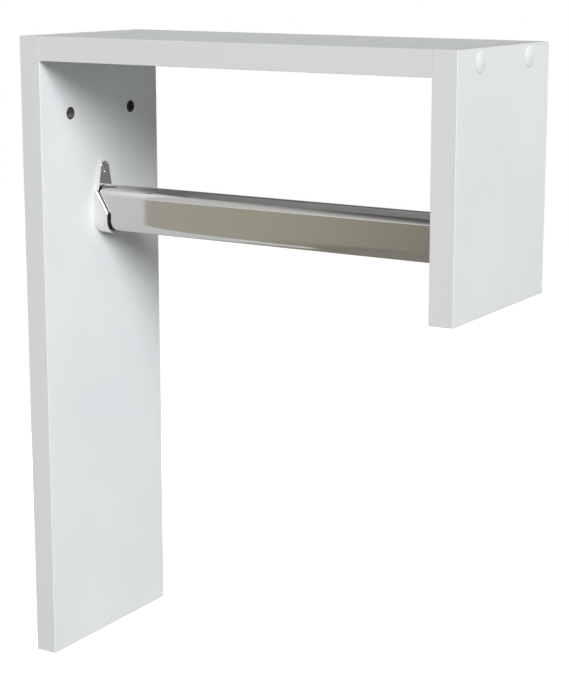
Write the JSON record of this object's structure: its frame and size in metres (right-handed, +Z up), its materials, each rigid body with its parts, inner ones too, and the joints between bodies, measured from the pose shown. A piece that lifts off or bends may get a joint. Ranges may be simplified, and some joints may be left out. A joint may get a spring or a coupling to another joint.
{
  "type": "wall coat rack",
  "caption": "White board wall coat rack: a long back panel, a shelf across the top and a short front panel, with an oval chrome hanging rail lying in open-topped cups.",
  "frame": {"origin": "on the wall face of the back panel, midway between the two wall-screw holes", "axes": "+Y points into the wall, +Z is up, +X runs across the rack's width; the rack reaches into the room along -Y"},
  "size_m": [0.12, 0.3009, 0.4],
  "materials": {
    "white_board": "satin white melamine",
    "white_edge": "satin white edge band",
    "chrome_tube": "bright chrome plate",
    "chrome_casting": "chrome plate on a zinc casting",
    "zinc_screw": "zinc plate",
    "white_cap": "satin white"
  },
  "bodies": {
    "frame": {"back_panel": "white_board", "shelf_panel": "white_board", "front_panel": "white_board", "back_edge_band_left": "white_edge", "back_edge_band_right": "white_edge", "back_edge_band_top": "white_edge", "back_edge_band_bottom": "white_edge", "front_edge_band_left": "white_edge", "front_edge_band_right": "white_edge", "front_edge_band_top": "white_edge", "front_edge_band_bottom": "white_edge", "shelf_edge_band_left": "white_edge", "shelf_edge_band_right": "white_edge", "rail_support_back": "chrome_casting", "rail_support_front": "chrome_casting", "support_screw_back_upper": "zinc_screw", "support_screw_back_lower": "zinc_screw", "support_screw_front_upper": "zinc_screw", "support_screw_front_lower": "zinc_screw", "shelf_screw_back_left": "zinc_screw", "shelf_screw_back_right": "zinc_screw", "shelf_screw_front_left": "zinc_screw", "shelf_screw_front_right": "zinc_screw", "screw_cap_left": "white_cap", "screw_cap_right": "white_cap"},
    "rail": {"hanging_rail": "chrome_tube"}
  },
  "joints": [
    {"name": "rail_lift", "type": "slide", "parent": "frame", "child": "rail", "axis": [0, 0, 1], "range_m": [0, 0.079]}
  ]
}
